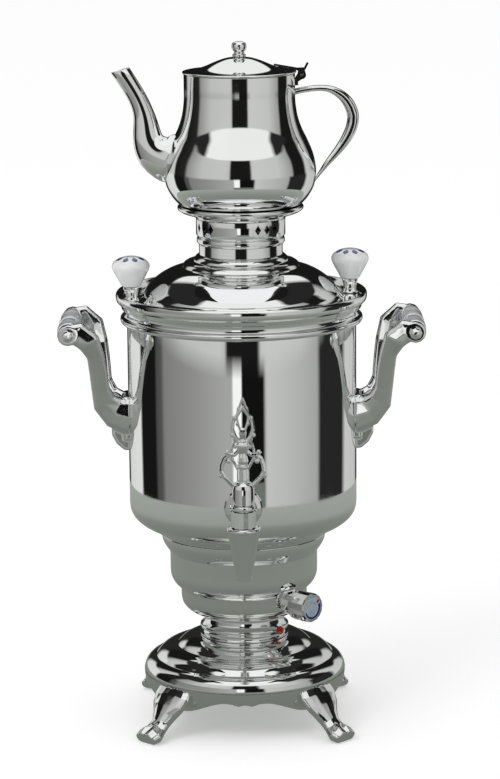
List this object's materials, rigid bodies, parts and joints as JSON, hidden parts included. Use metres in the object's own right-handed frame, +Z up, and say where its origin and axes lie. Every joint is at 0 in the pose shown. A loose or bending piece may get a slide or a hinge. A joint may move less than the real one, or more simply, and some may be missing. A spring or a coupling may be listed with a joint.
{
  "type": "electric samovar",
  "caption": "Electric samovar: chrome water tank on a pierced foot with paw feet, lever tap, porcelain grips, lift-off lid and crown, and a hinged-lid teapot on top.",
  "frame": {"origin": "on the floor, under the middle of the whole's width and depth; the tank's vertical axis stands 19.4 mm behind it, at y = +0.0194", "axes": "+Z up, the tap points to -Y, the teapot's spout to -X and its handle to +X"},
  "size_m": [0.2728, 0.226, 0.5133],
  "materials": {
    "chrome": "polished, mirror bright",
    "steel": "plain machined",
    "brass": "plain machined",
    "porcelain": "white glaze with blue brushwork",
    "terminal_ceramic": "unglazed",
    "black_plastic": "fine grained",
    "rubber": "smooth",
    "red_lens": "clear red",
    "dial": "silver foil under a clear face"
  },
  "bodies": {
    "stand": {"base_skirt": "chrome", "base_dome": "chrome", "foot_front_left": "chrome", "foot_front_right": "chrome", "foot_back_left": "chrome", "foot_back_right": "chrome", "neck": "chrome", "pilot_lamp": "red_lens", "lower_housing": "chrome", "thermostat_boss": "chrome", "thermostat_switch": "black_plastic", "mains_inlet": "black_plastic", "terminal_block": "terminal_ceramic", "tie_rod": "steel", "tie_washer": "steel", "tie_nut": "steel", "tank": "chrome", "rim_ring": "chrome", "heating_element": "steel", "element_nut_left": "brass", "element_nut_right": "brass", "dry_boil_cutout": "black_plastic", "tap_body": "chrome", "tap_spout": "chrome", "tap_gland_ring": "chrome", "tap_escutcheon": "chrome", "tap_seal": "rubber", "tap_inner_nut": "brass", "handle_casting_left": "chrome", "handle_casting_right": "chrome", "grip_left": "porcelain", "grip_right": "porcelain", "grip_rod_left": "steel", "grip_rod_right": "steel", "grip_nut_front_left": "chrome", "grip_nut_back_left": "chrome", "grip_nut_front_right": "chrome", "grip_nut_back_right": "chrome"},
    "tap_key": {"tap_plug": "chrome", "tap_key": "chrome"},
    "thermostat_knob": {"thermostat_knob": "chrome", "thermostat_dial": "dial", "thermostat_shaft": "steel"},
    "lid": {"lid": "chrome", "knob_stem_left": "chrome", "knob_stem_right": "chrome", "lid_knob_left": "porcelain", "lid_knob_right": "porcelain"},
    "crown": {"crown_collar": "chrome", "gallery": "chrome"},
    "teapot": {"teapot_body": "chrome", "teapot_spout": "chrome", "teapot_handle": "chrome", "hinge_bracket": "chrome", "hinge_pin": "steel"},
    "teapot_lid": {"teapot_lid": "chrome", "finial": "chrome", "hinge_strap": "chrome"}
  },
  "joints": [
    {"name": "tap_turn", "type": "hinge", "parent": "stand", "child": "tap_key", "pos_m": [0, -0.1006, 0.1823], "axis": [0, 0, 1], "range_deg": [0, 90]},
    {"name": "thermostat_turn", "type": "hinge", "parent": "stand", "child": "thermostat_knob", "pos_m": [0, 0.0194, 0.09613], "axis": [0.7193, -0.6947, 0], "range_deg": [0, 270]},
    {"name": "lid_lift", "type": "slide", "parent": "stand", "child": "lid", "axis": [0, 0, 1], "range_m": [0, 0.1]},
    {"name": "crown_lift", "type": "slide", "parent": "lid", "child": "crown", "axis": [0, 0, 1], "range_m": [0, 0.06]},
    {"name": "teapot_lift", "type": "slide", "parent": "crown", "child": "teapot", "axis": [0, 0, 1], "range_m": [0, 0.12]},
    {"name": "teapot_lid_hinge", "type": "hinge", "parent": "teapot", "child": "teapot_lid", "pos_m": [0.04599, 0.0194, 0.48863], "axis": [0, 1, 0], "range_deg": [0, 95]}
  ]
}
